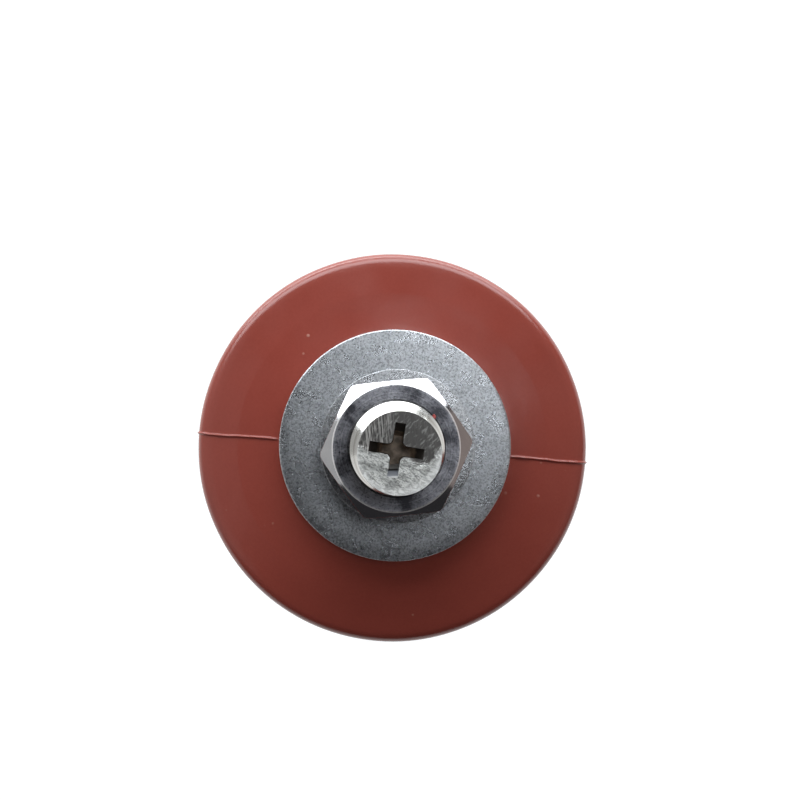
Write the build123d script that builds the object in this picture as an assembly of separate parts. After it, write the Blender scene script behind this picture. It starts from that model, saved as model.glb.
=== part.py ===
from build123d import *
import math
import os

# A polymer-housed distribution surge arrester: a stack of varistor blocks in a
# glass-fibre tube, with a silicone rubber jacket moulded over it and an M12 stud,
# two washers and a nut at each end.
# Millimetres. +Z is up, along the arrester's axis. The origin is the centre of the
# bottom seating face, the outer face of the bottom large washer.

os.makedirs("parts", exist_ok=True)

# Fits
MOULDED_GAP = 0.05      # radial, rubber moulded round a part
PLUG_GAP = 0.10         # radial, electrode plug in the tube
BLOCK_GAP = 0.50        # radial, varistor stack in the tube
THREAD_GAP = 0.05       # radial, stud core in a tapped hole
SEAL_GAP = 0.05         # all round, a seal ring in its groove

# Stud, nut and washers, metric M12. The thread itself is left plain: the stud has its
# full diameter where it is free and its core where it is screwed in.
STUD_R = 6.0
TAPPED_R = 5.1
TAPPED_MOUTH_R = 6.9
STUD_REACH = 23.0       # beyond the seating face
STUD_GRIP = 14.0        # thread held in the electrode
STUD_CHAMFER = 0.75     # inner end
END_BEVEL_HEIGHT = 0.9  # outer end, cropped and dressed a little to one side
END_BEVEL_INSET = 0.75
END_FACE_SHIFT = (0.3, -0.6)
STUD_HOLE_SPARE = 3.0   # hole deeper than the stud

RECESS_SPAN = 6.9       # cross recess, tip to tip
RECESS_ARM = 1.32
RECESS_DEPTH = 3.2
RECESS_TAPER = 26.5     # degrees, slope of the arm ends
RECESS_TURN = -9.0      # degrees about the stud's axis
RECESS_SHIFT = (-0.1, -0.2)
RECESS_CORNER = 0.55

NUT_ACROSS_FLATS = 19.0
NUT_HEIGHT = 10.0
NUT_FACE_D = 17.8
NUT_CHAMFER_ANGLE = 30.0
NUT_TURN = 5.5          # degrees about the stud's axis

FLAT_WASHER_D = 24.0
FLAT_WASHER_T = 2.5
LARGE_WASHER_D = 37.0
LARGE_WASHER_T = 3.0
WASHER_HOLE_D = 13.0
WASHER_EDGE = 0.3
FLAT_WASHER_SHIFT = (0.30, 0.30)
LARGE_WASHER_SHIFT = (-0.06, 0.42)

# Active part
BLOCK_D = 30.0
BLOCK_HEIGHT = 26.0
BLOCK_COUNT = 5
BLOCK_EDGE = 0.8
CONTACT_DISC_T = 2.0
CONTACT_DISC_INSET = 0.5
PRESSURE_PLATE_T = 5.0
PRESSURE_PLATE_INSET = 0.5

SPRING_COUNT = 3
SPRING_GAP = 1.5        # radial, in the tube
SPRING_INNER_D = 14.2
SPRING_T = 1.5
SPRING_HEIGHT = 2.3

# Tube and electrodes
TUBE_WALL = 2.5
PLUG_LENGTH = 18.0
FLANGE_T = 4.0
SEAL_R = 0.9
SEAL_FROM_FLANGE = 4.0

# Silicone jacket
BARREL_WALL = 3.5
SHED_D = 66.0
SHED_COUNT = 8
SHED_PITCH = 24.0
SHED_RIM_R = 2.6
SHED_TOP_SLOPE = 13.0
SHED_UNDER_SLOPE = 4.0
SHED_ROOT_R = 3.0
END_FLAT_R = 19.5       # flat seat round the washer
END_CREASE_R = 25.6
END_INNER_SLOPE = 8.0
END_OUTER_SLOPE = 10.5
TAIL_EDGE_R = 2.0
JACKET_SHIFT = (-0.45, 0.0)  # the moulded skin stands a little off the core
FLASH_HEIGHT = 0.35
FLASH_T = 0.4
FLASH_GAP = 0.1         # from the washer's edge
FLASH_TURN = -4.4       # degrees, the mould's parting plane about Z

# Worked out from the sizes above
TUBE_BORE_R = BLOCK_D / 2 + BLOCK_GAP
TUBE_R = TUBE_BORE_R + TUBE_WALL
SPRING_R = TUBE_BORE_R - SPRING_GAP
PLUG_R = TUBE_BORE_R - PLUG_GAP
BARREL_R = TUBE_R + BARREL_WALL
SHED_R = SHED_D / 2
STACK_HEIGHT = BLOCK_COUNT * BLOCK_HEIGHT + (BLOCK_COUNT - 1) * CONTACT_DISC_T
SPRING_STACK = SPRING_COUNT * SPRING_HEIGHT

JACKET_BOTTOM = LARGE_WASHER_T
TUBE_BOTTOM = JACKET_BOTTOM + FLANGE_T
STACK_BOTTOM = TUBE_BOTTOM + PLUG_LENGTH
PLATE_BOTTOM = STACK_BOTTOM + STACK_HEIGHT
SPRINGS_BOTTOM = PLATE_BOTTOM + PRESSURE_PLATE_T
TUBE_TOP = SPRINGS_BOTTOM + SPRING_STACK + PLUG_LENGTH
JACKET_TOP = TUBE_TOP + FLANGE_T
TOP_SEAT = JACKET_TOP + LARGE_WASHER_T


def disc(radius, bottom, height):
    """A plain cylinder standing on the height given."""
    return Pos(0, 0, bottom) * Cylinder(radius, height, align=(Align.CENTER, Align.CENTER, Align.MIN))


def turned(points):
    """A solid turned about Z from its half section."""
    return revolve(make_face(Plane.XZ * Polyline(*points, close=True)), Axis.Z)


def flipped(shape):
    """The same piece at the other end of the arrester."""
    middle = TOP_SEAT / 2
    return Pos(0, 0, middle) * (Rot(180, 0, 0) * (Pos(0, 0, -middle) * shape))


def cross_recess():
    """The cutter for a cross recess, its mouth at Z = 0 and its point downwards."""
    arm = Rectangle(RECESS_SPAN, RECESS_ARM)
    mouth = arm + Rot(0, 0, 90) * arm
    inner = [v for v in mouth.vertices() if abs(v.X) < RECESS_SPAN / 4 and abs(v.Y) < RECESS_SPAN / 4]
    mouth = fillet(inner, RECESS_CORNER)
    prism = extrude(mouth, -RECESS_DEPTH)
    point = RECESS_SPAN / 2 - RECESS_DEPTH * math.tan(math.radians(RECESS_TAPER))
    cone = turned([(0, 0), (RECESS_SPAN / 2, 0), (point, -RECESS_DEPTH), (0, -RECESS_DEPTH)])
    return prism & cone


def tapped_hole(bottom, top):
    """The cutter for a tapped hole, countersunk at the top."""
    sink = TAPPED_MOUTH_R - TAPPED_R
    return turned([(0, bottom), (TAPPED_R, bottom), (TAPPED_R, top - sink), (TAPPED_MOUTH_R, top), (0, top)])


def stud():
    """The top stud, its outer end bevelled and cut with a cross recess."""
    nut_bottom = TOP_SEAT + FLAT_WASHER_T
    core_r = TAPPED_R - THREAD_GAP
    top = TOP_SEAT + STUD_REACH
    nut_top = nut_bottom + NUT_HEIGHT
    core = disc(core_r, JACKET_TOP - STUD_GRIP, nut_top - JACKET_TOP + STUD_GRIP)
    core = chamfer(core.edges().filter_by(GeomType.CIRCLE).sort_by(Axis.Z)[0], STUD_CHAMFER)
    through_washers = disc(STUD_R, JACKET_TOP, nut_bottom - JACKET_TOP)
    bevel_bottom = top - END_BEVEL_HEIGHT
    free_end = disc(STUD_R, nut_top, bevel_bottom - nut_top)
    end_face = Pos(*END_FACE_SHIFT, top) * Circle(STUD_R - END_BEVEL_INSET)
    bevel = loft([Pos(0, 0, bevel_bottom) * Circle(STUD_R), end_face], ruled=True)
    rod = core + through_washers + free_end + bevel
    return rod - Pos(*RECESS_SHIFT, top) * (Rot(0, 0, RECESS_TURN) * cross_recess())


def nut():
    """The top nut: a hexagon with both faces chamfered and both thread mouths countersunk."""
    blank = extrude(RegularPolygon(NUT_ACROSS_FLATS / 2, 6, major_radius=False), NUT_HEIGHT)
    corner_r = NUT_ACROSS_FLATS / 2 / math.cos(math.radians(30))
    face_r = NUT_FACE_D / 2
    fall = (corner_r - face_r) * math.tan(math.radians(NUT_CHAMFER_ANGLE))
    facing = turned([
        (0, 0),
        (face_r, 0),
        (corner_r, fall),
        (corner_r, NUT_HEIGHT - fall),
        (face_r, NUT_HEIGHT),
        (0, NUT_HEIGHT),
    ])
    hole = tapped_hole(NUT_HEIGHT / 2, NUT_HEIGHT)
    hole = hole + mirror(hole, Plane.XY.offset(NUT_HEIGHT / 2))
    return Pos(0, 0, TOP_SEAT + FLAT_WASHER_T) * (Rot(0, 0, NUT_TURN) * (blank & facing - hole))


def washer(diameter, thickness, bottom, shift):
    """A stamped washer, its upper outer edge rounded by the die."""
    plate = disc(diameter / 2, bottom, thickness)
    plate = fillet(plate.edges().filter_by(GeomType.CIRCLE).group_by(Axis.Z)[-1], WASHER_EDGE)
    plate = plate - disc(WASHER_HOLE_D / 2, bottom, thickness)
    return Pos(*shift, 0) * plate


def electrode():
    """The upper electrode: a flange on the tube's end and a plug in its bore, with a
    tapped hole for the stud and a groove for the seal ring."""
    body = disc(TUBE_R, TUBE_TOP, FLANGE_T) + disc(PLUG_R, TUBE_TOP - PLUG_LENGTH, PLUG_LENGTH)
    groove_half = SEAL_R + SEAL_GAP
    groove_bottom = TUBE_TOP - SEAL_FROM_FLANGE - groove_half
    groove = disc(TUBE_R, groove_bottom, 2 * groove_half)
    groove = groove - disc(TUBE_BORE_R - 2 * groove_half, groove_bottom, 2 * groove_half)
    return body - tapped_hole(JACKET_TOP - STUD_GRIP - STUD_HOLE_SPARE, JACKET_TOP) - groove


def seal_ring():
    """The upper seal ring, a plain O-ring in the plug's groove."""
    middle_r = TUBE_BORE_R - SEAL_R - SEAL_GAP
    return Pos(0, 0, TUBE_TOP - SEAL_FROM_FLANGE) * Torus(middle_r, SEAL_R)


def disc_spring(bottom, point_up):
    """A conical spring washer of even thickness."""
    inner_r = SPRING_INNER_D / 2
    rise = SPRING_HEIGHT - SPRING_T
    inner_low, outer_low = (rise, 0) if point_up else (0, rise)
    return turned([
        (inner_r, bottom + inner_low),
        (SPRING_R, bottom + outer_low),
        (SPRING_R, bottom + outer_low + SPRING_T),
        (inner_r, bottom + inner_low + SPRING_T),
    ])


def shed_points(rim_z):
    """The half section of one shed, from its upper root to its lower root."""
    top = math.radians(SHED_TOP_SLOPE)
    under = math.radians(SHED_UNDER_SLOPE)
    rim_x = SHED_R - SHED_RIM_R
    high = (rim_x + SHED_RIM_R * math.sin(top), rim_z + SHED_RIM_R * math.cos(top))
    low = (rim_x - SHED_RIM_R * math.sin(under), rim_z - SHED_RIM_R * math.cos(under))
    root_high = (BARREL_R, high[1] + (high[0] - BARREL_R) * math.tan(top))
    root_low = (BARREL_R, low[1] + (low[0] - BARREL_R) * math.tan(under))
    return root_high, high, (SHED_R, rim_z), low, root_low


def top_shed_points():
    """The top shed's upper side: the flat end face, a crease, and the rim."""
    slope = math.radians(END_OUTER_SLOPE)
    crease_z = JACKET_TOP - (END_CREASE_R - END_FLAT_R) * math.tan(math.radians(END_INNER_SLOPE))
    high_x = SHED_R - SHED_RIM_R + SHED_RIM_R * math.sin(slope)
    high_z = crease_z - (high_x - END_CREASE_R) * math.tan(slope)
    rim_z = high_z - SHED_RIM_R * math.cos(slope)
    return crease_z, (high_x, high_z), rim_z


def jacket_outline():
    """The jacket's whole half section, without its bore."""
    crease_z, high, rim_z = top_shed_points()
    lines = Polyline((0, JACKET_TOP), (END_FLAT_R, JACKET_TOP), (END_CREASE_R, crease_z), high)
    roots = []
    for number in range(SHED_COUNT):
        root_high, shed_high, rim, low, root_low = shed_points(rim_z - number * SHED_PITCH)
        if number == 0:
            shed_high = high
        else:
            lines += Line(roots[-1], root_high)
            lines += Line(root_high, shed_high)
            roots.append(root_high)
        lines += ThreePointArc(shed_high, rim, low)
        lines += Line(low, root_low)
        roots.append(root_low)
    lines += Polyline(roots[-1], (BARREL_R, JACKET_BOTTOM), (0, JACKET_BOTTOM), (0, JACKET_TOP))
    outline = make_face(lines)
    corners = [v for v in outline.vertices() if any(abs(v.X - x) + abs(v.Y - z) < 0.01 for x, z in roots)]
    outline = fillet(corners, SHED_ROOT_R)
    tail = [v for v in outline.vertices() if abs(v.X - BARREL_R) + abs(v.Y - JACKET_BOTTOM) < 0.01]
    return fillet(tail, TAIL_EDGE_R)


def flash(outline):
    """The thin raised line that the two mould halves leave, down both sides and over the top
    shed as far as the washer."""
    swollen = offset(outline, FLASH_HEIGHT, kind=Kind.INTERSECTION)
    half = extrude(Plane.XZ * swollen, FLASH_T / 2, both=True)
    line = half + Rot(0, 0, 180) * half
    bare_r = LARGE_WASHER_D / 2 + math.hypot(*LARGE_WASHER_SHIFT) + math.hypot(*JACKET_SHIFT) + FLASH_GAP
    above = disc(bare_r, JACKET_TOP, SHED_D)
    below = disc(SHED_D, JACKET_BOTTOM - SHED_D, SHED_D)
    return line - above - below


def jacket():
    """The moulded jacket: barrel, sheds and flash, bored for the tube and both flanges."""
    outline = jacket_outline()
    skin = revolve(Plane.XZ * outline, Axis.Z) + flash(outline)
    bore = disc(TUBE_R + MOULDED_GAP, JACKET_BOTTOM, JACKET_TOP - JACKET_BOTTOM)
    return Pos(*JACKET_SHIFT, 0) * (Rot(0, 0, FLASH_TURN) * skin) - bore


def tube():
    """The glass-fibre tube that carries the pull between the electrodes."""
    height = TUBE_TOP - TUBE_BOTTOM
    return disc(TUBE_R, TUBE_BOTTOM, height) - disc(TUBE_BORE_R, TUBE_BOTTOM, height)


def varistor_block(bottom):
    """One zinc-oxide block, its edges eased."""
    block = disc(BLOCK_D / 2, bottom, BLOCK_HEIGHT)
    return chamfer(block.edges().filter_by(GeomType.CIRCLE), BLOCK_EDGE)


parts = {"silicone_housing": jacket(), "frp_tube": tube()}

block_step = BLOCK_HEIGHT + CONTACT_DISC_T
disc_r = BLOCK_D / 2 - CONTACT_DISC_INSET
for number in range(BLOCK_COUNT):
    bottom = STACK_BOTTOM + number * block_step
    parts[f"varistor_block_{number + 1}"] = varistor_block(bottom)
    if number < BLOCK_COUNT - 1:
        parts[f"contact_disc_{number + 1}"] = disc(disc_r, bottom + BLOCK_HEIGHT, CONTACT_DISC_T)

parts["pressure_plate"] = disc(BLOCK_D / 2 - PRESSURE_PLATE_INSET, PLATE_BOTTOM, PRESSURE_PLATE_T)
for number in range(SPRING_COUNT):
    bottom = SPRINGS_BOTTOM + number * SPRING_HEIGHT
    parts[f"disc_spring_{number + 1}"] = disc_spring(bottom, point_up=number % 2 == 0)

end_parts = {
    "electrode": electrode(),
    "seal_ring": seal_ring(),
    "large_washer": washer(LARGE_WASHER_D, LARGE_WASHER_T, JACKET_TOP, LARGE_WASHER_SHIFT),
    "flat_washer": washer(FLAT_WASHER_D, FLAT_WASHER_T, TOP_SEAT, FLAT_WASHER_SHIFT),
    "nut": nut(),
    "stud": stud(),
}
for name, shape in end_parts.items():
    parts[f"top_{name}"] = shape
    parts[f"bottom_{name}"] = flipped(shape)

for name, shape in parts.items():
    export_step(shape, f"parts/{name}.step")
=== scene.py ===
import bmesh
import bpy
import math
from mathutils import Matrix, Vector, noise


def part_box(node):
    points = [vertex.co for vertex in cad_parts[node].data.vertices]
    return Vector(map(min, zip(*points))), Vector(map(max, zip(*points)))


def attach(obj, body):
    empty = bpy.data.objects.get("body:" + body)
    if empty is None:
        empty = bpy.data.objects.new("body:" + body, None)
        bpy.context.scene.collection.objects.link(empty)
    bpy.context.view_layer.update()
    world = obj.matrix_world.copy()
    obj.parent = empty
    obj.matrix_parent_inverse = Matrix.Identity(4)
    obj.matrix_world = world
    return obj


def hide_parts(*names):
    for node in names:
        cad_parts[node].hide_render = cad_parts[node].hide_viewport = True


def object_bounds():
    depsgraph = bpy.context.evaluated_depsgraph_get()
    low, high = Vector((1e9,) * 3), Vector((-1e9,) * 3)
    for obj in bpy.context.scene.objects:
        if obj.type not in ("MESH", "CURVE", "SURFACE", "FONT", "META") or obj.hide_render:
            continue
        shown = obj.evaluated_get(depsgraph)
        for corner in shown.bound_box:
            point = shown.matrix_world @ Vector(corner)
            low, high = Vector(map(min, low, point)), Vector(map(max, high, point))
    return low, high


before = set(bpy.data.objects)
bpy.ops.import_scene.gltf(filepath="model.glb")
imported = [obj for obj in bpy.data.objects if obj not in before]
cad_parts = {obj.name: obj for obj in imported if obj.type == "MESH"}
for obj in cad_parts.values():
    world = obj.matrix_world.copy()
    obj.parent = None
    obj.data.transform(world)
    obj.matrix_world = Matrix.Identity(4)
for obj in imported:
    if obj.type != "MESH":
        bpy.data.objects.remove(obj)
cad_low, cad_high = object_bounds()


# ---- Active part: electrodes, varistor blocks, discs, springs, seals and tube --------
# Sealed in the jacket. The aluminium is turned, the blocks are sintered zinc oxide with
# sprayed faces, the springs are pressed, and the tube is wound glass fibre in epoxy.

def finish_of(name, colour, metallic, roughness):
    """A new material with its shader's plain numbers set, and the shader itself."""
    finish = bpy.data.materials.new(name)
    finish.use_nodes = True
    shader = finish.node_tree.nodes["Principled BSDF"]
    shader.inputs["Base Color"].default_value = (*colour, 1)
    shader.inputs["Metallic"].default_value = metallic
    shader.inputs["Roughness"].default_value = roughness
    return finish, shader


def node(finish, kind, links=None, **values):
    """Adds a node, sets what is given by name, and joins its inputs."""
    made = finish.node_tree.nodes.new(kind)
    for key, value in values.items():
        setattr(made, key, value)
    for socket, source in (links or {}).items():
        if hasattr(source, "is_output"):
            finish.node_tree.links.new(source, made.inputs[socket])
        else:
            made.inputs[socket].default_value = source
    return made


def pattern(finish, scale, detail=3.0, stretch=(1, 1, 1), turn=(0, 0, 0), rough=0.5):
    """A pattern fixed to the piece; the scale counts features per metre."""
    place = node(finish, "ShaderNodeTexCoord").outputs["Object"]
    if tuple(turn) != (0, 0, 0):
        place = node(finish, "ShaderNodeMapping", {"Vector": place, "Rotation": turn}).outputs[0]
    if tuple(stretch) != (1, 1, 1):
        place = node(finish, "ShaderNodeMapping", {"Vector": place, "Scale": stretch}).outputs[0]
    links = {"Vector": place, "Scale": scale, "Detail": detail, "Roughness": rough}
    return node(finish, "ShaderNodeTexNoise", links).outputs["Fac"]


def ramp(finish, source, *stops):
    """Turns a value into colours, from stops of (place, colour or grey)."""
    made = node(finish, "ShaderNodeValToRGB", {"Fac": source})
    points = made.color_ramp.elements
    while len(points) < len(stops):
        points.new(0.5)
    for point, (place, colour) in zip(points, stops):
        point.position = place
        point.color = (*colour, 1) if isinstance(colour, tuple) else (colour, colour, colour, 1)
    return made.outputs["Color"]


def relief(finish, shader, *layers):
    """Bump layers of (height, strength, depth in metres), one on the other."""
    under = None
    for height, strength, depth in layers:
        links = {"Height": height, "Strength": strength, "Distance": depth}
        if under:
            links["Normal"] = under
        under = node(finish, "ShaderNodeBump", links).outputs["Normal"]
    finish.node_tree.links.new(under, shader.inputs["Normal"])


def joined(finish, shader, **sources):
    """Joins sockets to the shader's inputs, named with _ for each space."""
    for name, source in sources.items():
        finish.node_tree.links.new(source, shader.inputs[name.replace("_", " ")])


def dress(nodes, finish):
    """Gives a finish to CAD pieces that stay as they are."""
    for name in nodes:
        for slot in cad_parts[name].material_slots:
            slot.material = finish


def turned_aluminium():
    finish, shader = finish_of("turned aluminium", (0.70, 0.71, 0.72), 1.0, 0.34)
    rings = pattern(finish, 900, 2, (1, 1, 14))
    joined(finish, shader, Roughness=ramp(finish, rings, (0.3, 0.26), (0.7, 0.44)))
    relief(finish, shader, (rings, 0.25, 0.00005))
    return finish


def sintered_oxide():
    finish, shader = finish_of("sintered zinc oxide", (0.15, 0.16, 0.16), 0.0, 0.75)
    grain = pattern(finish, 1800, 4)
    colour = ramp(finish, grain, (0.35, (0.10, 0.11, 0.11)), (0.7, (0.20, 0.21, 0.21)))
    joined(finish, shader, Base_Color=colour)
    relief(finish, shader, (grain, 0.3, 0.00008))
    return finish


def pressed_spring_steel():
    finish, shader = finish_of("pressed spring steel", (0.32, 0.33, 0.35), 1.0, 0.4)
    bloom = pattern(finish, 300, 4)
    colour = ramp(finish, bloom, (0.3, (0.24, 0.25, 0.28)), (0.7, (0.40, 0.40, 0.41)))
    joined(finish, shader, Base_Color=colour)
    relief(finish, shader, (pattern(finish, 3000), 0.15, 0.00003))
    return finish


def wound_glass():
    finish, shader = finish_of("wound glass fibre", (0.62, 0.60, 0.34), 0.0, 0.38)
    strands = pattern(finish, 700, 2, (1, 1, 9), (0, 0.18, 0))
    colour = ramp(finish, strands, (0.3, (0.50, 0.49, 0.26)), (0.7, (0.72, 0.70, 0.44)))
    joined(finish, shader, Base_Color=colour)
    relief(finish, shader, (strands, 0.4, 0.0001))
    return finish


def seal_rubber():
    finish, shader = finish_of("seal rubber", (0.02, 0.02, 0.02), 0.0, 0.5)
    relief(finish, shader, (pattern(finish, 2500), 0.2, 0.00004))
    return finish


BLOCKS = [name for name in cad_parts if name.startswith("varistor_block")]
SPRINGS = [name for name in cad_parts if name.startswith("disc_spring")]
TURNED = [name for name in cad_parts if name.startswith("contact_disc")]
TURNED += ["pressure_plate", "top_electrode", "bottom_electrode"]
dress(TURNED, turned_aluminium())
dress(BLOCKS, sintered_oxide())
dress(SPRINGS, pressed_spring_steel())
dress(["frp_tube"], wound_glass())
dress(["top_seal_ring", "bottom_seal_ring"], seal_rubber())


# ---- Silicone jacket -----------------------------------------------------------------
# Barrel and eight sheds moulded in one shot of red-brown silicone round the tube. The
# two mould halves leave a thin wavy flash down both sides and over the top shed.

MM = 0.001
jacket_low, jacket_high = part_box("silicone_housing")
JACKET_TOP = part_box("top_large_washer")[0].z
JACKET_BOTTOM = jacket_low.z
BORE_R = 18.05 * MM
BARREL_R = 21.5 * MM
SHED_R = 33.0 * MM
SHED_COUNT = 8
SHED_PITCH = 24.0 * MM
SHED_TOP_SLOPE = math.radians(13)
SHED_UNDER_SLOPE = math.radians(4)
SHED_RIM_R = 2.6 * MM
SHED_ROOT_R = 3.0 * MM
END_FLAT_R = 19.5 * MM
END_CREASE_R = 25.6 * MM
END_INNER_SLOPE = math.radians(8)
END_OUTER_SLOPE = math.radians(10.5)
FLASH_TURN = math.radians(-4.4)
FLASH_H = 0.3 * MM
FLASH_START_R = 19.1 * MM
FLASH_H_LIMIT = 0.33 * MM
FLASH_W = 0.17 * MM
BESIDE_FLASH = [d * MM for d in (-1.3, -0.8, -0.5, -0.36, -0.26, -0.17, -0.08, 0,
                                 0.08, 0.17, 0.26, 0.36, 0.5, 0.8, 1.3)]
STEPS_BETWEEN_FLASHES = 76
SKIN_WAVE = 0.05 * MM
SKIN_WAVES_PER_M = 90.0
LINE_STEP = 1.1 * MM
ARC_STEP = math.radians(15)
JACKET_AXIS = Vector(((jacket_low.x + jacket_high.x) / 2, (jacket_low.y + jacket_high.y) / 2, 0.0))


def rounded(corners, run_step, arc_step):
    """Points along a bent line whose corners, given as (r, z, radius), are arcs."""
    points = [Vector(corners[0][:2])]
    for before, here, after in zip(corners, corners[1:], corners[2:]):
        middle, radius = Vector(here[:2]), here[2]
        back = (Vector(before[:2]) - middle).normalized()
        on = (Vector(after[:2]) - middle).normalized()
        half = back.angle(on) / 2
        if radius == 0 or half > 1.55:
            points.append(middle)
            continue
        reach = radius / math.tan(half)
        centre = middle + (back + on).normalized() * (radius / math.sin(half))
        start = middle + back * reach - centre
        sweep = start.angle_signed(middle + on * reach - centre)
        steps = max(2, math.ceil(abs(sweep) / arc_step))
        for step in range(steps + 1):
            points.append(centre + Matrix.Rotation(-sweep * step / steps, 2) @ start)
    points.append(Vector(corners[-1][:2]))
    filled = [points[0]]
    for a, b in zip(points, points[1:]):
        steps = max(1, math.ceil((b - a).length / run_step))
        filled += [a.lerp(b, step / steps) for step in range(1, steps + 1)]
    return filled


def rim_reach(slope, outward):
    """From the rim's middle to where a shed's side, drawn on, meets the shed's edge."""
    return SHED_RIM_R * (math.cos(slope) + outward * math.tan(slope) * (1 + outward * math.sin(slope)))


def jacket_corners():
    """The jacket's outer half section, from the washer down to the bottom face."""
    crease_z = JACKET_TOP - (END_CREASE_R - END_FLAT_R) * math.tan(END_INNER_SLOPE)
    high_z = crease_z - (SHED_R - END_CREASE_R) * math.tan(END_OUTER_SLOPE)
    rim_z = high_z - rim_reach(END_OUTER_SLOPE, -1)
    rim_r = SHED_RIM_R * 0.99
    root_rise = (SHED_R - BARREL_R) * math.tan(SHED_TOP_SLOPE)
    root_fall = (SHED_R - BARREL_R) * math.tan(SHED_UNDER_SLOPE)
    corners = [(BORE_R, JACKET_TOP, 0), (END_FLAT_R, JACKET_TOP, 2 * MM), (END_CREASE_R, crease_z, 1.2 * MM)]
    for number in range(SHED_COUNT):
        middle = rim_z - number * SHED_PITCH
        top_z = middle + rim_reach(SHED_TOP_SLOPE, -1)
        under_z = middle - rim_reach(SHED_UNDER_SLOPE, 1)
        if number == 0:
            corners.append((SHED_R, high_z, rim_r))
        else:
            corners.append((BARREL_R, top_z + root_rise, SHED_ROOT_R))
            corners.append((SHED_R, top_z, rim_r))
        corners.append((SHED_R, under_z, rim_r))
        corners.append((BARREL_R, under_z + root_fall, SHED_ROOT_R))
    corners.append((BARREL_R, JACKET_BOTTOM, 2 * MM))
    corners.append((BORE_R, JACKET_BOTTOM, 0))
    return corners


def piece_from(name, points, faces, finish, smooth_angle=math.radians(35)):
    """A mesh object whose sharp edges are those bent by more than the angle."""
    mesh = bpy.data.meshes.new(name)
    mesh.from_pydata(points, [], faces)
    mesh.update()
    mesh.materials.append(finish)
    mesh.shade_smooth()
    mesh.set_sharp_from_angle(angle=smooth_angle)
    made = bpy.data.objects.new(name, mesh)
    bpy.context.collection.objects.link(made)
    return made


def lathe_faces(rings, around):
    """Quads between closed rings of points, the last ring joined to the first."""
    faces = []
    for ring in range(rings):
        after = (ring + 1) % rings
        for step in range(around):
            beside = (step + 1) % around
            faces.append((ring * around + step, after * around + step,
                          after * around + beside, ring * around + beside))
    return faces


def flash_wander(travelled, side):
    """How far the parting line strays sideways: slow bends with quick ones on them."""
    seed = 17.0 * side
    slow = 0.16 * MM * noise.noise((travelled / (7 * MM), seed, 0))
    return slow + 0.07 * MM * noise.noise((travelled / (1.7 * MM), seed, 5))


def ring_stations(radius, travelled, bare):
    """Round one ring, the angles and what the flash adds there: close-set across each of
    the two parting lines and even between them."""
    stations = []
    for side in (0, 1):
        height = FLASH_H * (0.72 + 0.5 * noise.noise((travelled / (2.2 * MM), 17.0 * side, 9)))
        height = 0.0 if bare else min(height, FLASH_H_LIMIT)
        centre = FLASH_TURN + math.pi * side
        wander = flash_wander(travelled, side)
        for beside in BESIDE_FLASH:
            stations.append((centre + (beside + wander) / radius, height * math.exp(-(beside / FLASH_W) ** 2)))
        first = centre + (BESIDE_FLASH[-1] + wander) / radius
        last = centre + math.pi + (BESIDE_FLASH[0] + flash_wander(travelled, 1 - side)) / radius
        for step in range(1, STEPS_BETWEEN_FLASHES):
            stations.append((first + (last - first) * step / STEPS_BETWEEN_FLASHES, 0.0))
    return stations


def moulded_jacket(name, finish):
    """The jacket's half section turned round, with the flash raised and the skin uneven."""
    outer = rounded(jacket_corners(), LINE_STEP, ARC_STEP)
    bore_steps = 6
    bore = [Vector((BORE_R, JACKET_BOTTOM + (JACKET_TOP - JACKET_BOTTOM) * step / bore_steps))
            for step in range(1, bore_steps)]
    line = outer + bore
    points = []
    travelled = 0.0
    for number, at in enumerate(line):
        before, after = line[number - 1], line[(number + 1) % len(line)]
        travelled += (at - before).length if number else 0.0
        along = (after - before).normalized()
        out = Vector((-along.y, along.x))
        in_bore = number >= len(outer)
        under_washer = at.x < FLASH_START_R and at.y > JACKET_TOP - 0.1 * MM
        bare = in_bore or under_washer or at.y < JACKET_BOTTOM + 0.2 * MM
        for angle, lift in ring_stations(at.x, travelled, bare):
            radial = at.x + out.x * lift
            spot = Vector((radial * math.cos(angle), radial * math.sin(angle), at.y + out.y * lift))
            if not bare:
                sink = SKIN_WAVE * noise.noise(spot * SKIN_WAVES_PER_M) - SKIN_WAVE
                spot += Vector((out.x * math.cos(angle), out.x * math.sin(angle), out.y)) * sink
            points.append(spot + JACKET_AXIS)
    around = 2 * (len(BESIDE_FLASH) + STEPS_BETWEEN_FLASHES - 1)
    return piece_from(name, points, lathe_faces(len(line), around), finish, math.radians(60))


def blend(finish, kind, amount, first, second):
    """Mixes two colours; the amount is a number or a socket."""
    made = node(finish, "ShaderNodeMix", data_type="RGBA", blend_type=kind)
    for place, value in ((0, amount), (6, first), (7, second)):
        if hasattr(value, "is_output"):
            finish.node_tree.links.new(value, made.inputs[place])
        elif place == 0:
            made.inputs[0].default_value = value
        else:
            made.inputs[place].default_value = (*value, 1)
    return made.outputs[2]


def math_of(finish, kind, first, second=0.0):
    return node(finish, "ShaderNodeMath", {0: first, 1: second}, operation=kind).outputs[0]


def times(finish, first, second):
    return math_of(finish, "MULTIPLY", first, second)


def plus(finish, first, second):
    return math_of(finish, "ADD", first, second)


def minus(finish, first, second):
    return math_of(finish, "SUBTRACT", first, second)


def from_axis(finish):
    """Distance from the upright axis, in metres."""
    place = node(finish, "ShaderNodeTexCoord").outputs["Object"]
    flat = node(finish, "ShaderNodeVectorMath", {0: place, 1: (1, 1, 0)}, operation="MULTIPLY").outputs[0]
    return node(finish, "ShaderNodeVectorMath", {0: flat}, operation="LENGTH").outputs["Value"]


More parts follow.
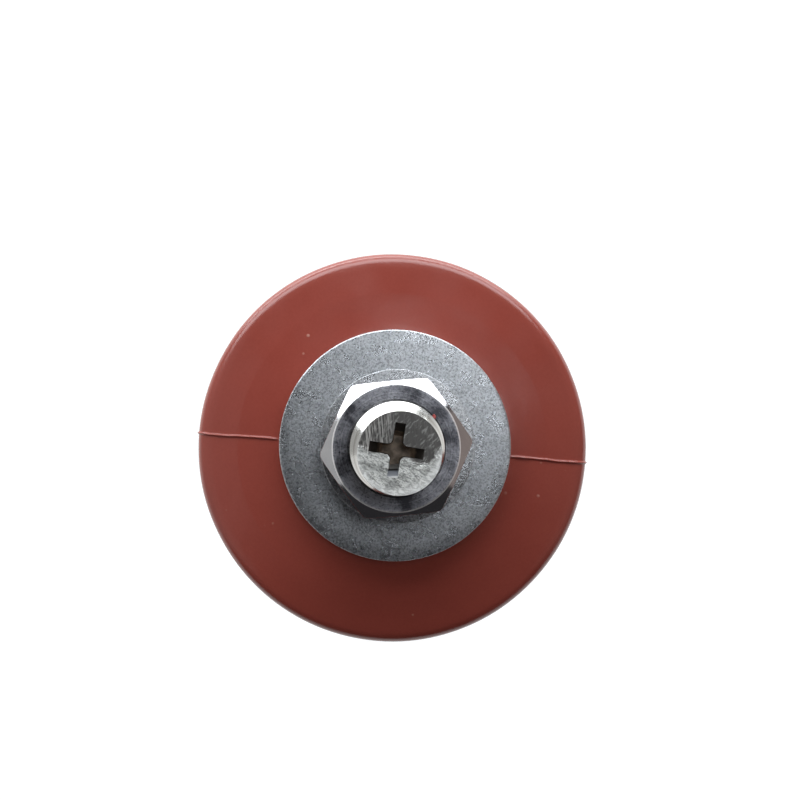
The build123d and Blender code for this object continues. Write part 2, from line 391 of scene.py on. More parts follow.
def moulded_silicone():
    """Red-brown silicone: an even tone, fine mould grain, a few pale nicks, and a painted orange glow round the
    rim's outer edge.
    """
    finish, shader = finish_of("moulded silicone", (0.295, 0.058, 0.041), 0.0, 0.22)
    cloud = pattern(finish, 60, 3)
    colour = ramp(finish, cloud, (0.25, (0.280, 0.054, 0.038)), (0.75, (0.315, 0.062, 0.044)))
    speckle = ramp(finish, pattern(finish, 2300, 3), (0.30, 0.86), (0.70, 1.0))
    colour = blend(finish, "MULTIPLY", 0.5, colour, speckle)
    place = node(finish, "ShaderNodeTexCoord").outputs["Object"]
    dots = node(finish, "ShaderNodeTexVoronoi", {"Vector": place, "Scale": 330}).outputs["Distance"]
    sparse = ramp(finish, pattern(finish, 120, 1), (0.60, 0.0), (0.64, 1.0))
    nick = times(finish, ramp(finish, dots, (0.05, 0.7), (0.11, 0.0)), sparse)
    colour = blend(finish, "MIX", nick, colour, (0.55, 0.26, 0.20))
    # Near the sheds' outer edge the colour turns orange: a painted glow for light shining through the thin rim.
    painted_rim_glow = ramp(finish, times(finish, from_axis(finish), 1 / SHED_R), (0.985, 0.0), (1.0, 0.20))
    colour = blend(finish, "MIX", painted_rim_glow, colour, (0.44, 0.125, 0.045))
    gloss = ramp(finish, pattern(finish, 160, 4), (0.3, 0.17), (0.7, 0.26))
    joined(finish, shader, Base_Color=colour, Roughness=gloss)
    grain = pattern(finish, 3600, 3)
    flow = pattern(finish, 70, 3)
    relief(finish, shader, (flow, 0.25, 0.0006), (grain, 0.22, 0.00006), (nick, 0.4, 0.0001))
    return finish


jacket = moulded_jacket("silicone_jacket", moulded_silicone())
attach(jacket, "root")
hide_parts("silicone_housing")


# ---- Large washers -------------------------------------------------------------------
# Plain steel washers, 37 mm across, stamped from sheet and tumbled. The face is satin
# with fine grain and short scratches, and the die leaves a slightly rounded upper edge.

def brushed(finish, shader, base, bright, coarse_rough, fine_rough, scratches):
    """Satin steel: cloudy tone, fine grain and short scratches in several directions."""
    tone = pattern(finish, 110, 5, rough=0.65)
    colour = ramp(finish, tone, (0.30, base), (0.72, bright))
    grain = pattern(finish, 3200, 4, rough=0.8)
    colour = blend(finish, "MULTIPLY", 0.85, colour, ramp(finish, grain, (0.40, 0.30), (0.55, 1.0)))
    marks = None
    for turn, stretch in ((0.3, 4), (1.1, 6), (1.9, 5), (2.7, 6)):
        layer = pattern(finish, 1500, 1, (1, stretch, 1), (0, 0, turn))
        layer = ramp(finish, layer, (0.62, 0.0), (0.72, 1.0))
        gate = ramp(finish, pattern(finish, 500 + 90 * turn, 1), (0.35, 0.5), (0.65, 1.0))
        layer = times(finish, layer, gate)
        marks = layer if marks is None else math_of(finish, "MAXIMUM", marks, layer)
    colour = blend(finish, "MIX", times(finish, marks, 0.45 * scratches), colour, (0.80, 0.80, 0.81))
    rough = ramp(finish, pattern(finish, 420, 5), (0.30, fine_rough), (0.70, coarse_rough))
    joined(finish, shader, Base_Color=colour, Roughness=rough)
    relief(finish, shader, (tone, 0.10, 0.0003), (grain, 0.75, 0.00005), (marks, 0.25 * scratches, 0.00004))


def stamped_steel():
    finish, shader = finish_of("stamped washer steel", (0.48, 0.51, 0.55), 1.0, 0.38)
    brushed(finish, shader, (0.52, 0.54, 0.57), (0.62, 0.64, 0.67), 0.33, 0.24, 1.0)
    return finish


WASHER_HOLE_R = 6.5 * MM
OUT_OF_ROUND = 0.01 * MM


def turned_ring(name, line, axis, finish):
    """A closed ring turned about its own upright axis from (r, z) points, and a hair out
    of round."""
    around = 256
    points = []
    for at in line:
        for step in range(around):
            angle = 2 * math.pi * step / around
            uneven = noise.noise((9 * math.cos(angle), 9 * math.sin(angle), at.y * 900))
            radial = at.x + OUT_OF_ROUND * uneven
            points.append((axis.x + radial * math.cos(angle), axis.y + radial * math.sin(angle), at.y))
    return piece_from(name, points, lathe_faces(len(line), around), finish, math.radians(40))


def stamped_washer(end, kind, edge, finish):
    """A washer in its CAD piece's place, its outer edge rounded on the die's side."""
    cad_name = f"{end}_{kind}"
    low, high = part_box(cad_name)
    outer = (high.x - low.x) / 2 - OUT_OF_ROUND
    sharp = 0.08 * MM
    corners = [(WASHER_HOLE_R, low.z, 0), (WASHER_HOLE_R, high.z, sharp), (outer, high.z, edge),
               (outer, low.z, sharp), (WASHER_HOLE_R, low.z, 0)]
    if end == "bottom":
        corners = [(r, high.z + low.z - z, radius) for r, z, radius in corners][::-1]
    line = rounded(corners, 2.5 * MM, ARC_STEP)[:-1]
    made = turned_ring(f"{cad_name}_stamped", line, (low + high) / 2, finish)
    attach(made, "root")
    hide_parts(cad_name)
    return made


steel = stamped_steel()
for end in ("top", "bottom"):
    washer = stamped_washer(end, "large_washer", 0.3 * MM, steel)


# ---- Flat washers --------------------------------------------------------------------
# Plain M12 washers, 24 mm across, between the nut and the large washer. Smoother than
# the large ones, with a light turned grain.

def plated_steel():
    finish, shader = finish_of("plated washer steel", (0.48, 0.50, 0.54), 1.0, 0.34)
    brushed(finish, shader, (0.46, 0.47, 0.49), (0.58, 0.59, 0.61), 0.31, 0.23, 0.5)
    return finish


steel = plated_steel()
for end in ("top", "bottom"):
    washer = stamped_washer(end, "flat_washer", 0.12 * MM, steel)


# ---- Nuts ----------------------------------------------------------------------------
# M12 hexagon nuts, 19 mm across flats, cold formed and faced on a lathe: the faces show
# turned rings, the chamfers at the corners are bright, the thread mouth is countersunk.

NUT_HALF_FLATS = 9.5 * MM
NUT_FACE_R = 8.9 * MM
NUT_TURN = math.radians(5.5)
NUT_CHAMFER = math.radians(30)
NUT_MOUTH_R = 6.9 * MM
NUT_BORE_R = 5.12 * MM
NUT_CORNER_EASE = 0.12 * MM
NUT_CORNER_WIDTH = 0.035
NUT_EDGE_EASE = 0.06 * MM
NUT_FACE_STATION = 0.6 * MM
NUT_SIDE_STATION = 3.2 * MM


def hexagon_r(angle):
    """Distance from the axis to the hexagon's side, its corners eased."""
    turn = (angle - NUT_TURN) % (math.pi / 3) - math.pi / 6
    side = NUT_HALF_FLATS / math.cos(turn)
    corner = NUT_HALF_FLATS / math.cos(math.pi / 6)
    nearness = math.exp(-((math.pi / 6 - abs(turn)) / NUT_CORNER_WIDTH) ** 2)
    return side - NUT_CORNER_EASE * nearness * side / corner


def nut_half_section(side, top, middle):
    """The nut's upper half in (r, z), from the bore out to a side at this distance."""
    ease = NUT_EDGE_EASE
    sink = NUT_MOUTH_R - NUT_BORE_R
    half = [(NUT_BORE_R, middle), (NUT_BORE_R, top - sink), (NUT_MOUTH_R - ease, top - ease),
            (NUT_MOUTH_R + ease / 2, top), (NUT_MOUTH_R + NUT_FACE_STATION, top),
            (NUT_FACE_R - NUT_FACE_STATION, top), (NUT_FACE_R - ease / 2, top),
            (NUT_FACE_R + ease, top - ease * math.tan(NUT_CHAMFER) - ease / 5)]
    for share in (0.25, 0.5, 0.75):
        out = ease + (side - NUT_FACE_R - ease) * share
        half.append((NUT_FACE_R + out, top - out * math.tan(NUT_CHAMFER) - ease / 5))
    fall = (side - NUT_FACE_R) * math.tan(NUT_CHAMFER)
    return half + [(side - ease / 2, top - fall), (side, top - fall - ease), (side, top - NUT_SIDE_STATION)]


def hexagon_nut(end, finish):
    cad_name = f"{end}_nut"
    low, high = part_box(cad_name)
    around = 360
    columns = []
    for step in range(around):
        angle = 2 * math.pi * step / around
        side = hexagon_r(-angle if end == "bottom" else angle)
        half = nut_half_section(side, high.z, 0.5 * (high.z + low.z))
        other = [(r, high.z + low.z - z) for r, z in half[1:]][::-1]
        columns.append([(r * math.cos(angle), r * math.sin(angle), z) for r, z in half + other])
    rings = len(columns[0])
    points = [columns[step][ring] for ring in range(rings) for step in range(around)]
    made = piece_from(f"{cad_name}_faced", points, lathe_faces(rings, around), finish, math.radians(24))
    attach(made, "root")
    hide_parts(cad_name)


NUTS_MIDDLE = (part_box("top_nut")[1].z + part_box("bottom_nut")[0].z) / 2
NUTS_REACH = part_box("top_nut")[1].z - NUTS_MIDDLE


def faced_nut_steel():
    """Dark turned faces, bright chamfers, and a painted highlight line where the two meet."""
    finish, shader = finish_of("faced nut steel", (0.5, 0.5, 0.52), 1.0, 0.16)
    radius = from_axis(finish)
    place = node(finish, "ShaderNodeTexCoord").outputs["Object"]
    z = node(finish, "ShaderNodeSeparateXYZ", {"Vector": place}).outputs[2]
    on_face = ramp(finish, times(finish, radius, 50.0), (0.442, 1.0), (0.446, 0.0))
    ring_place = node(finish, "ShaderNodeCombineXYZ", {0: radius, 1: 0.0, 2: z}).outputs[0]
    rings = {"Vector": ring_place, "Scale": 6500.0, "Detail": 3.0}
    rings = node(finish, "ShaderNodeTexNoise", rings).outputs["Fac"]
    grain = pattern(finish, 2600, 5, rough=0.75)
    tone = pattern(finish, 240, 4)
    turned = plus(finish, times(finish, rings, 0.35), times(finish, grain, 0.65))
    face = ramp(finish, times(finish, turned, tone), (0.16, (0.07, 0.07, 0.08)), (0.33, (0.42, 0.42, 0.46)))
    bright = ramp(finish, tone, (0.3, (0.56, 0.56, 0.58)), (0.7, (0.66, 0.66, 0.67)))
    # A pale, half-metallic line round the edge where face and chamfer meet: a painted highlight.
    from_edge = math_of(finish, "ABSOLUTE", minus(finish, radius, NUT_FACE_R + 0.05 * MM))
    line = ramp(finish, times(finish, from_edge, 1000.0), (0.07, 1.0), (0.13, 0.0))
    outward = minus(finish, math_of(finish, "ABSOLUTE", minus(finish, z, NUTS_MIDDLE)), NUTS_REACH)
    line = times(finish, line, math_of(finish, "GREATER_THAN", outward, -0.2 * MM))
    colour = blend(finish, "MIX", on_face, bright, face)
    # The pale colour of the painted highlight on the edge between face and chamfer.
    colour = blend(finish, "MIX", line, colour, (0.80, 0.78, 0.78))
    bare = minus(finish, 1.0, times(finish, line, 0.5))
    polished = ramp(finish, grain, (0.3, 0.10), (0.7, 0.18))
    dull = ramp(finish, grain, (0.3, 0.25), (0.7, 0.36))
    rough = blend(finish, "MIX", on_face, polished, dull)
    joined(finish, shader, Base_Color=colour, Metallic=bare, Roughness=rough)
    face_relief = times(finish, turned, on_face)
    relief(finish, shader, (face_relief, 0.9, 0.00006), (tone, 0.12, 0.0003), (grain, 0.05, 0.00003))
    return finish


steel = faced_nut_steel()
hexagon_nut("top", steel)
hexagon_nut("bottom", steel)


# ---- Studs ---------------------------------------------------------------------------
# M12 studs with a rolled thread, screwed into the electrodes. The outer end is bevelled,
# has a cross recess for the driver, and is worn bright on its lower half.

STUD_R = 5.96 * MM
THREAD_ROOT_R = 5.06 * MM
THREAD_PITCH = 1.75 * MM
FLANK_STEEPNESS = 1.3
ROOT_FLAT = 0.12
JOIN_WITHIN = 0.002 * MM
END_BEVEL_HEIGHT = 0.9 * MM
END_BEVEL_INSET = 0.75 * MM
END_FACE_SHIFT = Vector((0.3 * MM, -0.6 * MM))
RECESS_SPAN = 6.9 * MM
RECESS_ARM = 1.32 * MM
RECESS_DEPTH = 3.2 * MM
RECESS_TURN = math.radians(-9)
RECESS_SHIFT = Vector((-0.1 * MM, -0.2 * MM))
RECESS_END_TAPER = math.tan(math.radians(26.5))
RECESS_SIDE_TAPER = 0.035
RECESS_CORNER_R = 0.62 * MM
THREAD_IN_NUT = 1.9 * MM


def rolled_thread_tree():
    """A threaded rod: a grid rolled round the axis, its radius falling between turns,
    with both ends closed and the upper one bevelled a little off centre."""
    tree = bpy.data.node_groups.new("rolled thread", "GeometryNodeTree")
    tree.interface.new_socket("Geometry", in_out="OUTPUT", socket_type="NodeSocketGeometry")
    for name in ("Crest radius", "Root radius", "Pitch", "Bottom", "Thread start", "Top",
                 "Bevel height", "Bevel inset", "Bevel shift x", "Bevel shift y"):
        tree.interface.new_socket(name, in_out="INPUT", socket_type="NodeSocketFloat")
    for name in ("Around", "Along"):
        tree.interface.new_socket(name, in_out="INPUT", socket_type="NodeSocketInt")
    tree.interface.new_socket("Finish", in_out="INPUT", socket_type="NodeSocketMaterial")
    given = tree.nodes.new("NodeGroupInput").outputs

    def add(kind, *sources, **values):
        made = tree.nodes.new(kind)
        for key, value in values.items():
            setattr(made, key, value)
        for socket, source in zip(made.inputs, sources):
            if hasattr(source, "is_output"):
                tree.links.new(source, socket)
            elif source is not None:
                socket.default_value = source
        return made.outputs[0]

    def sum_of(kind, first, second=0.0):
        return add("ShaderNodeMath", first, second, operation=kind)

    def kept_in_unit(value):
        return sum_of("MINIMUM", sum_of("MAXIMUM", value, 0.0), 1.0)

    # The grid's columns go round the axis and its rows climb it.
    grid = tree.nodes.new("GeometryNodeMeshGrid")
    tree.links.new(given["Around"], grid.inputs["Vertices X"])
    tree.links.new(given["Along"], grid.inputs["Vertices Y"])
    place = tree.nodes.new("ShaderNodeSeparateXYZ")
    tree.links.new(add("GeometryNodeInputPosition"), place.inputs[0])
    share = sum_of("ADD", place.outputs[0], 0.5)
    rows = sum_of("SUBTRACT", given["Along"], 1.0)
    row = sum_of("ROUND", sum_of("MULTIPLY", sum_of("ADD", place.outputs[1], 0.5), rows))
    climb = sum_of("DIVIDE", sum_of("SUBTRACT", row, 1.0), sum_of("SUBTRACT", rows, 2.0))
    length = sum_of("SUBTRACT", given["Top"], given["Bottom"])
    height = sum_of("ADD", given["Bottom"], sum_of("MULTIPLY", kept_in_unit(climb), length))

    # The thread's flanks fall from crest to root, and fade out below the bevel.
    turns = sum_of("SUBTRACT", sum_of("DIVIDE", height, given["Pitch"]), share)
    wave = sum_of("ABSOLUTE", sum_of("SUBTRACT", sum_of("MULTIPLY", sum_of("FRACT", turns), 2.0), 1.0))
    flank = sum_of("SUBTRACT", sum_of("MULTIPLY", wave, FLANK_STEEPNESS), ROOT_FLAT)
    depth = sum_of("SUBTRACT", given["Crest radius"], given["Root radius"])
    below_top = sum_of("SUBTRACT", given["Top"], height)
    fade = sum_of("DIVIDE", sum_of("SUBTRACT", below_top, given["Bevel height"]), given["Pitch"])
    cut = sum_of("MULTIPLY", sum_of("SUBTRACT", 1.0, kept_in_unit(flank)), kept_in_unit(fade))
    radius = sum_of("SUBTRACT", given["Crest radius"], sum_of("MULTIPLY", cut, depth))

    # Hidden in the nut and electrode, the rod is plain.
    threaded = sum_of("GREATER_THAN", height, given["Thread start"])
    plain = sum_of("SUBTRACT", 1.0, threaded)
    plain = sum_of("MULTIPLY", given["Root radius"], plain)
    radius = sum_of("ADD", sum_of("MULTIPLY", radius, threaded), plain)

    # The bevel is wider on one side, because the end's face sits off centre.
    turn = sum_of("MULTIPLY", share, 2 * math.pi)
    cosine, sine = sum_of("COSINE", turn), sum_of("SINE", turn)
    into = sum_of("DIVIDE", below_top, given["Bevel height"])
    into = sum_of("SUBTRACT", 1.0, sum_of("MINIMUM", into, 1.0))
    off_centre = sum_of("ADD", sum_of("MULTIPLY", cosine, given["Bevel shift x"]),
                        sum_of("MULTIPLY", sine, given["Bevel shift y"]))
    inset = sum_of("SUBTRACT", given["Bevel inset"], off_centre)
    limit = sum_of("SUBTRACT", given["Crest radius"], sum_of("MULTIPLY", into, inset))
    radius = sum_of("MINIMUM", radius, limit)

    # The first and last rows close to a point on the axis.
    open_low = sum_of("MINIMUM", row, 1.0)
    open_high = sum_of("MINIMUM", sum_of("SUBTRACT", rows, row), 1.0)
    radius = sum_of("MULTIPLY", radius, sum_of("MULTIPLY", open_low, open_high))
    x, y = sum_of("MULTIPLY", radius, cosine), sum_of("MULTIPLY", radius, sine)
    rolled = add("GeometryNodeSetPosition", grid.outputs[0], None, add("ShaderNodeCombineXYZ", x, y, height))

    closed = tree.nodes.new("GeometryNodeMergeByDistance")
    tree.links.new(rolled, closed.inputs["Geometry"])
    closed.inputs["Distance"].default_value = JOIN_WITHIN
    real = add("GeometryNodeRealizeInstances", closed.outputs[0])
    painted = tree.nodes.new("GeometryNodeSetMaterial")
    tree.links.new(real, painted.inputs["Geometry"])
    tree.links.new(given["Finish"], painted.inputs["Material"])
    tree.links.new(painted.outputs[0], tree.nodes.new("NodeGroupOutput").inputs[0])
    return tree


def grown(name, tree, **sizes):
    """The plain mesh that a tree gives for the sizes named."""
    seed = bpy.data.objects.new(name, bpy.data.meshes.new(name))
    bpy.context.collection.objects.link(seed)
    rule = seed.modifiers.new("rule", "NODES")
    rule.node_group = tree
    for item in tree.interface.items_tree:
        if item.in_out == "INPUT":
            rule[item.identifier] = sizes[item.name.lower().replace(" ", "_")]
    whole = bpy.context.evaluated_depsgraph_get()
    mesh = bpy.data.meshes.new_from_object(seed.evaluated_get(whole))
    seed.modifiers.remove(rule)
    seed.data = mesh
    return seed


def recess_outline(down):
    """The recess's outline at a depth: four arms with rounded corners between them."""
    reach = RECESS_SPAN / 2 - max(down, 0) * RECESS_END_TAPER
    wide = RECESS_ARM / 2 - max(down, 0) * RECESS_SIDE_TAPER
    ring = []
    for quarter in range(4):
        turn = Matrix.Rotation(RECESS_TURN + quarter * math.pi / 2, 2)
        for angle in (math.pi / 2, 1.2, 0.8, 0.4, 0.0):
            corner = Vector((wide + RECESS_CORNER_R - RECESS_CORNER_R * math.sin(angle),
                             -wide - RECESS_CORNER_R + RECESS_CORNER_R * math.cos(angle)))
            ring.append(turn @ corner + RECESS_SHIFT)
        ring += [turn @ Vector((reach, side)) + RECESS_SHIFT for side in (-wide, wide)]
    return ring


def recess_cutter(top, finish):
    """The cross recess as a solid that starts a little above the stud's end."""
    levels, overlap = 7, 0.6 * MM
    points = []
    for level in range(levels + 1):
        down = -overlap + (RECESS_DEPTH + overlap) * level / levels
        points += [(spot.x, spot.y, top - down) for spot in recess_outline(down)]
    around = len(points) // (levels + 1)
    faces = lathe_faces(levels + 1, around)[:levels * around]
    faces.append(tuple(range(around)))
    faces.append(tuple(levels * around + step for step in reversed(range(around))))
    mesh = bpy.data.meshes.new("recess")
    mesh.from_pydata(points, [], faces)
    mesh.materials.append(finish)
    made = bpy.data.objects.new("recess", mesh)
    bpy.context.collection.objects.link(made)
    return made


def sawn_end(finish, x, y, rim_wear_and_highlight):
    """The end's colour, dark above with upright saw marks on the left and pale below, with a
    near-white rim on the pale part that is partly wear and partly painted highlight, and
    the pale share, the saw marks and the pits."""
    saw = pattern(finish, 330, 3, (14, 1, 1), (0, 0, -0.06), rough=0.65)
    left = ramp(finish, plus(finish, times(finish, x, -150.0), 0.5), (0.50, 0.06), (0.74, 1.0))
    marks = times(finish, ramp(finish, saw, (0.47, 0.0), (0.60, 1.0)), left)
    dark = blend(finish, "MIX", marks, (0.13, 0.125, 0.12), (0.62, 0.60, 0.57))
    scuffs = ramp(finish, pattern(finish, 1100, 4, (1, 3, 1), (0, 0, -0.8)), (0.54, 0.0), (0.66, 0.6))
    dark = blend(finish, "MIX", scuffs, dark, (0.45, 0.45, 0.43))
    pits = ramp(finish, pattern(finish, 2600, 4, (1, 2.6, 1), (0, 0, 0.5), rough=0.75), (0.42, 0.32), (0.50, 1.0))
    stains = ramp(finish, pattern(finish, 600, 3, (1, 1.8, 1), (0, 0, 0.4)),
                  (0.36, (0.56, 0.57, 0.55)), (0.60, (0.96, 0.97, 0.94)))
    pale = blend(finish, "MULTIPLY", 0.85, stains, pits)
    # Near-white along the pale part of the end's rim: partly wear, partly a painted highlight.
    pale = blend(finish, "MIX", times(finish, rim_wear_and_highlight, 0.9), pale, (0.97, 0.98, 0.96))
    slant = plus(finish, times(finish, y, -1000.0), times(finish, x, -300.0))
    right = math_of(finish, "MAXIMUM", minus(finish, times(finish, x, 1000.0), 3.9), 0.0)
    slant = plus(finish, slant, times(finish, right, 1.6))
    edge = plus(finish, slant, times(finish, pattern(finish, 500, 5, rough=0.65), 3.4))
    pale_share = ramp(finish, math_of(finish, "DIVIDE", edge, 6.0), (0.40, 0.0), (0.50, 1.0))
    return blend(finish, "MIX", pale_share, dark, pale), pale_share, saw, pits


def recess_shares(finish, radius, below_end, lower_arm, tone):
    """Where the recess's walls are, and where dirt lies in its bottom."""
    within = ramp(finish, times(finish, radius, 100.0), (0.40, 1.0), (0.42, 0.0))
    walls = times(finish, ramp(finish, below_end, (0.02, 0.0), (0.08, 1.0)), within)
    uneven = times(finish, minus(finish, tone, 0.5), 0.25)
    sunk = plus(finish, math_of(finish, "DIVIDE", below_end, 10.0), uneven)
    sunk = ramp(finish, sunk, (0.20, 0.0), (0.24, 1.0))
    dirt = times(finish, times(finish, sunk, within), ramp(finish, lower_arm, (0.19, 1.0), (0.22, 0.0)))
    return walls, dirt


def worn_stud_steel():
    """Steel whose sawn end is dark above, pale and pitted below, with a polished bevel round
    it, a near-white rim on the pale part that is partly wear and partly painted highlight,
    painted shade and highlights on the recess walls, and brown dirt in the bottom of the
    recess. Heights are worked out in millimetres."""
    finish, shader = finish_of("worn stud steel", (0.42, 0.41, 0.4), 1.0, 0.35)
    low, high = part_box("bottom_stud")[0].z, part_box("top_stud")[1].z
    place = node(finish, "ShaderNodeTexCoord").outputs["Object"]
    x, y, z = node(finish, "ShaderNodeSeparateXYZ", {"Vector": place}).outputs
    radius = from_axis(finish)
    from_middle = math_of(finish, "ABSOLUTE", minus(finish, z, (low + high) / 2))
    below_end = times(finish, minus(finish, (high - low) / 2, from_middle), 1000.0)
    grain = pattern(finish, 2400, 5, rough=0.7)
    tone = pattern(finish, 420, 4)

    # A ring round the end's rim, partly wear and partly a painted highlight.
    rim_wear_and_highlight = plus(finish, times(finish, radius, 100.0), times(finish, tone, 0.06))
    rim_wear_and_highlight = ramp(finish, rim_wear_and_highlight, (0.49, 0.0), (0.57, 1.0))
    end_colour, pale_share, saw, pits = sawn_end(finish, x, y, rim_wear_and_highlight)
    rings = pattern(finish, 2600, 2, (0.02, 0.02, 1))
    side_colour = ramp(finish, rings, (0.35, (0.46, 0.45, 0.42)), (0.65, (0.66, 0.66, 0.64)))
    on_end = ramp(finish, below_end, (0.010, 1.0), (0.030, 0.0))
    colour = blend(finish, "MIX", on_end, side_colour, end_colour)

    lower_arm = plus(finish, times(finish, y, -100.0), times(finish, tone, 0.02))
    walls, dirt = recess_shares(finish, radius, below_end, lower_arm, tone)
    # Painted light on the recess walls, going down the lower arm: dark painted shade, a lit patch, a dark painted
    # shadow band, a lit blue-grey end and a thin painted highlight.
    painted_wall_light = ramp(finish, lower_arm, (0.195, (0.060, 0.055, 0.050)), (0.215, (0.36, 0.36, 0.35)),
                (0.260, (0.44, 0.44, 0.43)), (0.268, (0.03, 0.03, 0.03)), (0.282, (0.03, 0.03, 0.03)),
                (0.292, (0.36, 0.38, 0.43)), (0.345, (0.42, 0.44, 0.48)), (0.355, (0.85, 0.85, 0.84)))
    colour = blend(finish, "MIX", walls, colour, painted_wall_light)
    brown = ramp(finish, pattern(finish, 1100, 5), (0.35, (0.20, 0.145, 0.10)), (0.68, (0.52, 0.40, 0.30)))
    colour = blend(finish, "MIX", dirt, colour, brown)

    pale_here = times(finish, pale_share, on_end)
    # The rim's wear and painted highlight also make it less metallic.
    dull = plus(finish, times(finish, rim_wear_and_highlight, 0.4), 0.6)
    soft = math_of(finish, "MAXIMUM", dirt, times(finish, pale_here, dull))
    soft = math_of(finish, "MAXIMUM", soft, times(finish, walls, 0.5))
    worn = ramp(finish, grain, (0.3, 0.30), (0.7, 0.50))
    rough = blend(finish, "MIX", math_of(finish, "MAXIMUM", on_end, walls), (0.16, 0.16, 0.16), worn)
    joined(finish, shader, Base_Color=colour, Metallic=minus(finish, 1.0, soft), Roughness=rough)
    relief(finish, shader, (times(finish, saw, on_end), 0.25, 0.0001),
           (times(finish, pits, pale_here), 1.0, 0.00016), (times(finish, grain, on_end), 0.3, 0.00005))
    return finish


def cut_by(made, cutter):
    """The mesh that is left of a piece once the cutter is taken out of it."""
    cut = made.modifiers.new("recess", "BOOLEAN")
    cut.operation, cut.solver, cut.object = "DIFFERENCE", "EXACT", cutter
    whole = bpy.context.evaluated_depsgraph_get()
    mesh = bpy.data.meshes.new_from_object(made.evaluated_get(whole))
    made.modifiers.remove(cut)
    bpy.data.objects.remove(cutter)
    return mesh


def threaded_stud(end, tree, finish):
    """The stud in its CAD piece's place, made for the top end and turned over for the other."""
    cad_name = f"{end}_stud"
    low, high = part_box(cad_name)
    nut_low, nut_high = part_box(f"{end}_nut")
    nut_outer = low.z + high.z - nut_low.z if end == "bottom" else nut_high.z
    made = grown(f"{cad_name}_threaded", tree, crest_radius=STUD_R, root_radius=THREAD_ROOT_R,
                 pitch=THREAD_PITCH, bottom=low.z, thread_start=nut_outer - THREAD_IN_NUT, top=high.z,
                 bevel_height=END_BEVEL_HEIGHT, bevel_inset=END_BEVEL_INSET, bevel_shift_x=END_FACE_SHIFT.x,
                 bevel_shift_y=END_FACE_SHIFT.y, around=145, along=420, finish=finish)
    mesh = cut_by(made, recess_cutter(high.z, finish))
    made.data = mesh
    if end == "bottom":
        middle = Vector((0, 0, (low.z + high.z) / 2))
        over = Matrix.Rotation(math.pi, 4, "X")
        mesh.transform(Matrix.Translation(middle) @ over @ Matrix.Translation(-middle))
    mesh.shade_smooth()
    mesh.set_sharp_from_angle(angle=math.radians(32))
    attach(made, "root")
    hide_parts(cad_name)


thread = rolled_thread_tree()
steel = worn_stud_steel()
threaded_stud("top", thread, steel)
threaded_stud("bottom", thread, steel)


# ---- Rubber crumb --------------------------------------------------------------------
# A torn crumb of the jacket's silicone, left by the fitting of the hardware. It is caught
# in the mouth of the top nut, beside the stud.

CRUMB_R = 0.42 * MM
CRUMB_BEARING = 0.69
CRUMB_OUTWARD = 0.4 * MM
CRUMB_LIFT = 0.1 * MM


def torn_rubber():
    finish, shader = finish_of("torn silicone", (0.42, 0.045, 0.035), 0.0, 0.45)
    colour = ramp(finish, pattern(finish, 3000, 3), (0.35, (0.24, 0.024, 0.020)), (0.65, (0.42, 0.050, 0.040)))
    joined(finish, shader, Base_Color=colour)
    return finish


def rubber_crumb(name, place, finish):
    crumb = bmesh.new()
    bmesh.ops.create_icosphere(crumb, subdivisions=3, radius=CRUMB_R)
    for corner in crumb.verts:
        corner.co *= 0.75 + 0.7 * noise.noise(corner.co * 1.8 / CRUMB_R)
        corner.co = Vector((corner.co.x * 0.9, corner.co.y, corner.co.z * 0.6)) + place
    mesh = bpy.data.meshes.new(name)
    crumb.to_mesh(mesh)
    crumb.free()
    mesh.materials.append(finish)
    mesh.shade_smooth()
    made = bpy.data.objects.new(name, mesh)
    bpy.context.collection.objects.link(made)
    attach(made, "root")


crumb_out = (STUD_R + NUT_MOUTH_R) / 2 + CRUMB_OUTWARD
crumb_place = Vector((crumb_out * math.cos(CRUMB_BEARING), crumb_out * math.sin(CRUMB_BEARING),
                      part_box("top_nut")[1].z + CRUMB_LIFT))
rubber_crumb("rubber_crumb", crumb_place, torn_rubber())


# ---- Floor, light and camera ---------------------------------------------------------
# A plain white floor under the lower stud, a large soft window light from behind the top
# of the view with its sill, a skylight and two dim walls, and a camera close above the
# line end, looking down the axis.

FLOOR_SEEN = 0.86
FLOOR_BOUNCE = 0.40


def white_floor():
    """A floor that looks white, keeps its shadows, and throws some light back up."""
    finish, shader = finish_of("white floor", (0.30, 0.30, 0.30), 0.0, 0.9)
    ray = node(finish, "ShaderNodeLightPath").outputs
    seen = math_of(finish, "MAXIMUM", ray["Is Camera Ray"], ray["Is Glossy Ray"])
    seen = math_of(finish, "MAXIMUM", seen, ray["Is Transmission Ray"])
    level = math_of(finish, "MAXIMUM", times(finish, seen, FLOOR_SEEN), FLOOR_BOUNCE)
    glow = node(finish, "ShaderNodeEmission", {"Color": (1, 1, 1, 1), "Strength": level})
    both = node(finish, "ShaderNodeAddShader", {0: shader.outputs[0], 1: glow.outputs[0]})
    finish.node_tree.links.new(both.outputs[0], finish.node_tree.nodes["Material Output"].inputs["Surface"])
    return finish


def floor_under(height, half):
    corners = [(-half, -half, height), (half, -half, height), (half, half, height), (-half, half, height)]
    mesh = bpy.data.meshes.new("floor")
    mesh.from_pydata(corners, [], [(0, 1, 2, 3)])
    mesh.materials.append(white_floor())
    made = bpy.data.objects.new("floor", mesh)
    bpy.context.collection.objects.link(made)
    return made


floor_under(cad_low.z - 0.001, 20.0)

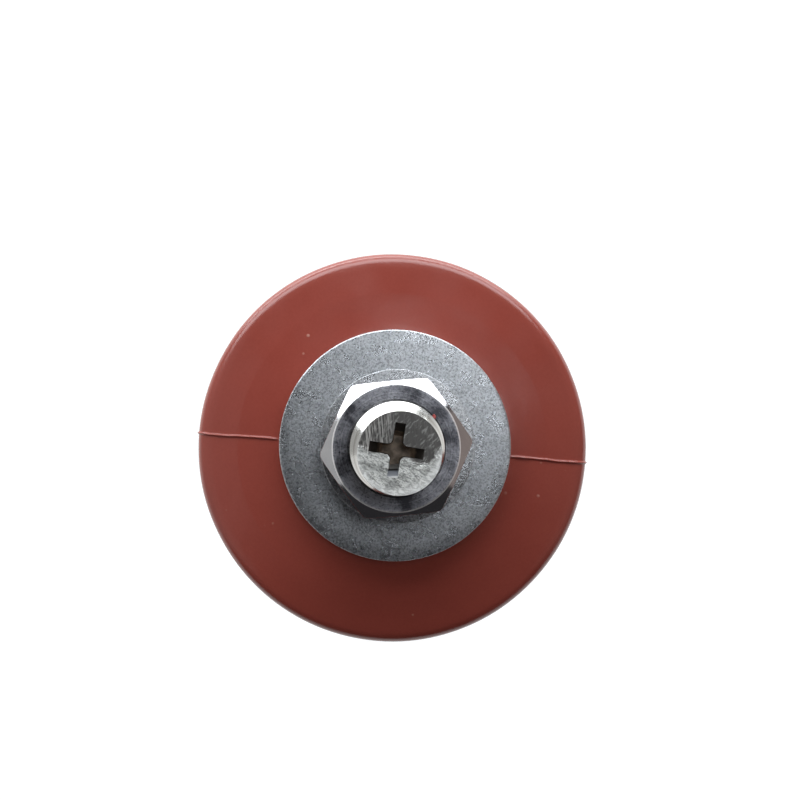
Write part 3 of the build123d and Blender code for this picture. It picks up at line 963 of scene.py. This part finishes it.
world = bpy.data.worlds.new("room")
bpy.context.scene.world = world
world.use_nodes = True
world.node_tree.nodes["Background"].inputs["Color"].default_value = (0.028, 0.027, 0.029, 1)

LINE_END = Vector((0, 0, JACKET_TOP))
DAYLIGHT = (0.93, 0.97, 1.0)


def lamp_towards(name, bearing, height, away, wide, tall, level, colour):
    """A soft lamp seen from the line end at a bearing and height in degrees, with its angular
    width and height in degrees, and the brightness of its surface."""
    bearing, height = math.radians(bearing), math.radians(height)
    flat = math.cos(height)
    line = Vector((math.cos(bearing) * flat, math.sin(bearing) * flat, math.sin(height)))
    lamp = bpy.data.lights.new(name, "AREA")
    lamp.shape = "RECTANGLE"
    lamp.size = 2 * away * math.tan(math.radians(wide / 2))
    lamp.size_y = 2 * away * math.tan(math.radians(tall / 2))
    lamp.energy, lamp.color = level * math.pi * lamp.size * lamp.size_y, colour
    made = bpy.data.objects.new(name, lamp)
    made.location = LINE_END + line * away
    made.rotation_euler = (-line).to_track_quat("-Z", "Y").to_euler()
    bpy.context.collection.objects.link(made)


lamp_towards("window", 96, 27, 0.8, 98, 26, 6.0, DAYLIGHT)
lamp_towards("window_sill", 96, -5, 0.75, 90, 14, 6.5, DAYLIGHT)
lamp_towards("skylight", 54, 73, 0.9, 30, 12, 4.0, DAYLIGHT)
lamp_towards("pale_wall", 182, 27, 0.9, 58, 56, 0.48, (0.98, 0.98, 0.97))
lamp_towards("warm_wall", 0, 30, 0.9, 62, 46, 0.27, (1.0, 0.82, 0.74))

LENS_TO_SENSOR = 0.80125
CAMERA_ABOVE_SEAT = 102 * MM
CAMERA_OFF_AXIS = (-1.15 * MM, 0.33 * MM)
camera = bpy.data.cameras.new("camera")
camera.sensor_width = 36
camera.lens = camera.sensor_width * LENS_TO_SENSOR
camera.clip_start = 0.005
camera.shift_x = 0.015
camera.shift_y = 0.0575
seat_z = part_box("top_large_washer")[1].z
viewer = bpy.data.objects.new("camera", camera)
viewer.location = (*CAMERA_OFF_AXIS, seat_z + CAMERA_ABOVE_SEAT)
bpy.context.collection.objects.link(viewer)
bpy.context.scene.camera = viewer
bpy.context.scene.view_settings.view_transform = "Standard"
